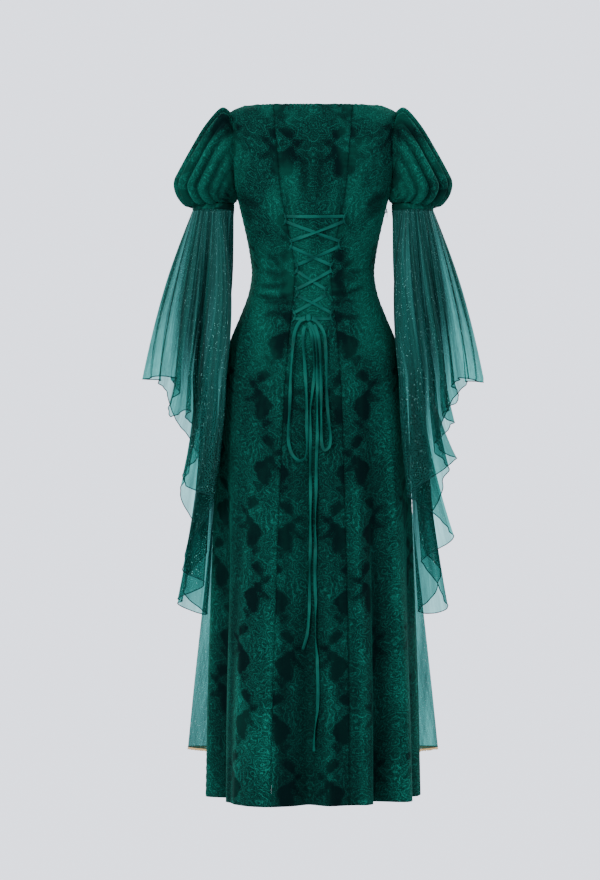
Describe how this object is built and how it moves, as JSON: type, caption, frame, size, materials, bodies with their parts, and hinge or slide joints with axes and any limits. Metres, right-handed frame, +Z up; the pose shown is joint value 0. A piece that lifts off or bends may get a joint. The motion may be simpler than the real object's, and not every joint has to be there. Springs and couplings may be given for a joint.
{
  "type": "medieval dress",
  "caption": "Full-length velvet gown with a laced back, puffed sleeve heads, trailing sheer sleeves and a sheer gold-edged overlay in front.",
  "frame": {"origin": "middle of the shoulder line, level with the top edge of the back, where the gown hangs from its wearer", "axes": "+Z up, +Y towards the laced back, -Y towards the front, +X towards the wearer's left"},
  "size_m": [0.661, 0.4429, 1.3779],
  "materials": {
    "velvet": "embossed emerald velvet",
    "chiffon": "sheer emerald chiffon with fine glitter",
    "ribbon": "satin ribbon",
    "gold_lace": "metallic gold lace",
    "zip": "lacquered to match the velvet"
  },
  "bodies": {
    "dress": {"back_panel": "velvet", "side_back_left": "velvet", "side_back_right": "velvet", "side_front_left": "velvet", "side_front_right": "velvet", "front_panel": "velvet", "puff_left": "velvet", "puff_right": "velvet", "arm_band_left": "velvet", "arm_band_right": "velvet", "sheer_sleeve_left": "chiffon", "sheer_sleeve_right": "chiffon", "front_overlay": "chiffon", "lace_bar": "ribbon", "lace_tail_left": "ribbon", "lace_tail_right": "ribbon", "lace_1_down_left": "ribbon", "lace_1_down_right": "ribbon", "lace_2_down_left": "ribbon", "lace_2_down_right": "ribbon", "lace_3_down_left": "ribbon", "lace_3_down_right": "ribbon", "lace_4_down_left": "ribbon", "lace_4_down_right": "ribbon", "lace_loop_left_1": "ribbon", "lace_loop_left_2": "ribbon", "lace_loop_left_3": "ribbon", "lace_loop_left_4": "ribbon", "lace_loop_left_5": "ribbon", "lace_loop_right_1": "ribbon", "lace_loop_right_2": "ribbon", "lace_loop_right_3": "ribbon", "lace_loop_right_4": "ribbon", "lace_loop_right_5": "ribbon", "bow_knot": "ribbon", "bow_loop_left": "ribbon", "bow_loop_right": "ribbon", "tie_end_left": "ribbon", "tie_end_right": "ribbon", "gold_trim": "gold_lace", "zip_slider": "zip"},
    "zip_pull": {"zip_pull": "zip"}
  },
  "joints": [
    {"name": "zip_pull_swing", "type": "hinge", "parent": "dress", "child": "zip_pull", "pos_m": [-0.14817, 0, -0.20795], "axis": [0, 1, 0], "range_deg": [-10, 40]}
  ]
}
